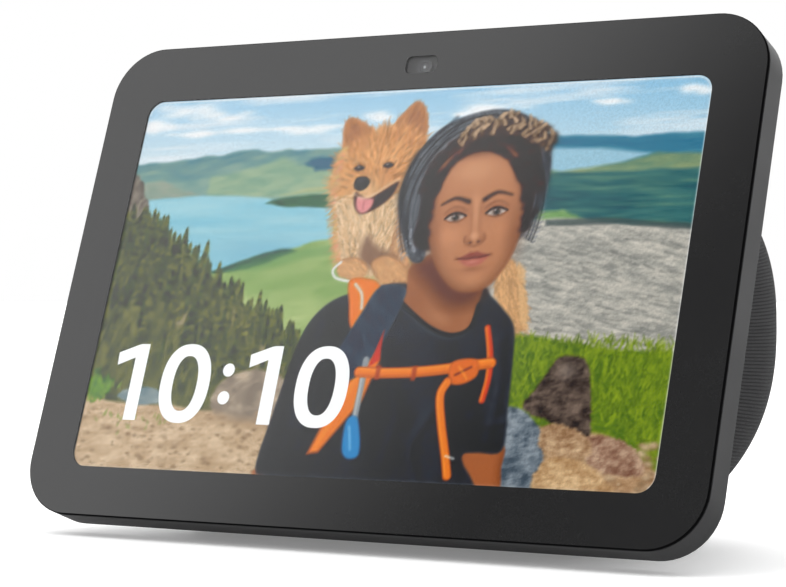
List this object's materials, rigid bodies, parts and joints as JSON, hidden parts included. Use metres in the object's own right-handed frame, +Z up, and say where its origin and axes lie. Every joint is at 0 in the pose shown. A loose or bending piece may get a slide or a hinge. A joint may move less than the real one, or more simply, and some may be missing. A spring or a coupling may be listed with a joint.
{
  "type": "smart display",
  "caption": "Table-top smart display: a glass-fronted panel leaning back on a domed, fabric-covered speaker housing with camera shutter, buttons, drivers and power socket.",
  "frame": {"origin": "bottom centre of the bounding box, on the table under the foot", "axes": "+Z up, the screen faces -Y, +X to the right for someone facing the screen"},
  "size_m": [0.2, 0.106, 0.1352],
  "materials": {
    "glass": "polished",
    "ink": "gloss black print",
    "film": "clear film",
    "display": "gloss",
    "steel": "brushed",
    "aluminium": "satin",
    "foam": "matt",
    "shell": "fine matt",
    "inner_plastic": "matt",
    "board": "solder mask",
    "flex": "satin",
    "lens": "coated",
    "blade": "matt",
    "fabric": "knitted",
    "rubber": "matt",
    "magnet": "satin",
    "cone": "matt",
    "copper": "enamelled",
    "lead": "satin"
  },
  "bodies": {
    "body": {"cover_glass": "glass", "black_border": "ink", "touch_sensor": "film", "lcd_cell": "display", "diffuser_sheets": "film", "light_guide": "film", "led_strip": "board", "backlight_tray": "steel", "foam_gasket": "foam", "display_adhesive": "foam", "mid_frame": "aluminium", "panel_shell": "shell", "display_flex": "flex", "camera_holder": "inner_plastic", "camera_lens": "lens", "camera_board": "board", "camera_flex": "flex", "button_board": "board", "tact_switches": "steel", "mute_light_pipe": "film", "microphones": "board", "microphone_gaskets": "foam", "light_sensor": "board", "wifi_antennas": "flex", "main_board": "board", "board_chips": "inner_plastic", "shield_cans": "steel", "thermal_pad": "foam", "heat_spreader": "aluminium", "board_screws": "steel", "chamber_plate": "inner_plastic", "rear_housing": "inner_plastic", "fabric_cover": "fabric", "base_cover": "shell", "rubber_foot": "rubber", "port_surround": "shell", "power_socket": "inner_plastic", "seat_left": "inner_plastic", "basket_left": "inner_plastic", "motor_left": "magnet", "surround_left": "foam", "seat_right": "inner_plastic", "basket_right": "inner_plastic", "motor_right": "magnet", "surround_right": "foam", "driver_screws": "steel", "radiator_frame": "inner_plastic", "radiator_surround": "foam", "speaker_leads": "lead", "power_lead": "lead"},
    "shutter": {"shutter_blade": "blade", "shutter_knob": "shell"},
    "volume_up": {"volume_up_button": "shell"},
    "volume_down": {"volume_down_button": "shell"},
    "mute": {"mute_button": "shell"},
    "left_cone": {"cone_left": "cone", "coil_left": "copper"},
    "right_cone": {"cone_right": "cone", "coil_right": "copper"},
    "radiator": {"radiator_plate": "magnet"}
  },
  "joints": [
    {"name": "shutter_slide", "type": "slide", "parent": "body", "child": "shutter", "axis": [1, 0, 0], "range_m": [0, 0.0079]},
    {"name": "volume_up_press", "type": "slide", "parent": "body", "child": "volume_up", "axis": [0, -0.342, -0.9397], "range_m": [0, 0.0005], "stiffness_N_per_m": 1500},
    {"name": "volume_down_press", "type": "slide", "parent": "body", "child": "volume_down", "axis": [0, -0.342, -0.9397], "range_m": [0, 0.0005], "stiffness_N_per_m": 1500},
    {"name": "mute_press", "type": "slide", "parent": "body", "child": "mute", "axis": [0, -0.342, -0.9397], "range_m": [0, 0.0005], "stiffness_N_per_m": 1500},
    {"name": "left_cone_stroke", "type": "slide", "parent": "body", "child": "left_cone", "axis": [-0.6293, 0.7771, 0], "range_m": [-0.002, 0.002], "stiffness_N_per_m": 1000},
    {"name": "right_cone_stroke", "type": "slide", "parent": "body", "child": "right_cone", "axis": [0.6293, 0.7771, 0], "range_m": [-0.002, 0.002], "stiffness_N_per_m": 1000},
    {"name": "radiator_stroke", "type": "slide", "parent": "body", "child": "radiator", "axis": [0, 1, 0], "range_m": [-0.0025, 0.0025], "stiffness_N_per_m": 500}
  ]
}
